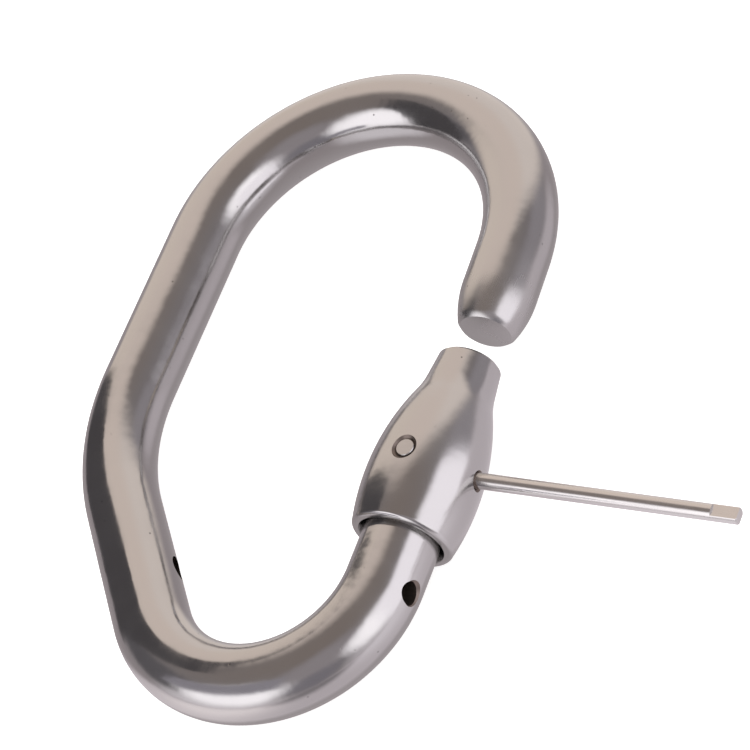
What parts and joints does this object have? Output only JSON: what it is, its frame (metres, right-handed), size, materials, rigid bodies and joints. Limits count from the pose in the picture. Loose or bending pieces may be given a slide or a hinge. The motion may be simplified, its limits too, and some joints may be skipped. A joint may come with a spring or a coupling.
{
  "type": "carabiner",
  "caption": "Stainless steel ring carabiner with a sliding lock sleeve, a flush guide pin and a slim release rod.",
  "frame": {"origin": "middle of the part's box in plan, on the surface that it lies on", "axes": "+Z square to the ring, towards the pictured face; +Y along the gate, from the bend at the bottom to the crown; +X out from the ring, along the release rod"},
  "size_m": [0.0956, 0.0992, 0.0149],
  "materials": {
    "ring_body": "polished stainless steel with fine pits and hand polishing marks",
    "lock_sleeve": "turned and polished stainless steel",
    "guide_pin": "faced stainless steel",
    "release_rod": "bright drawn stainless steel",
    "catch_ball": "bright ball",
    "catch_spring": "spring wire"
  },
  "bodies": {
    "ring": {"ring_body": "ring_body", "catch_ball": "catch_ball", "catch_spring": "catch_spring"},
    "sleeve": {"lock_sleeve": "lock_sleeve", "guide_pin": "guide_pin"},
    "rod": {"release_rod": "release_rod"}
  },
  "joints": [
    {"name": "sleeve_slide", "type": "slide", "parent": "ring", "child": "sleeve", "axis": [0, 1, 0], "range_m": [-0.0048, 0.0046]},
    {"name": "rod_pull", "type": "slide", "parent": "sleeve", "child": "rod", "axis": [0.9998, -0.0209, 0], "range_m": [0, 0.0018]}
  ]
}
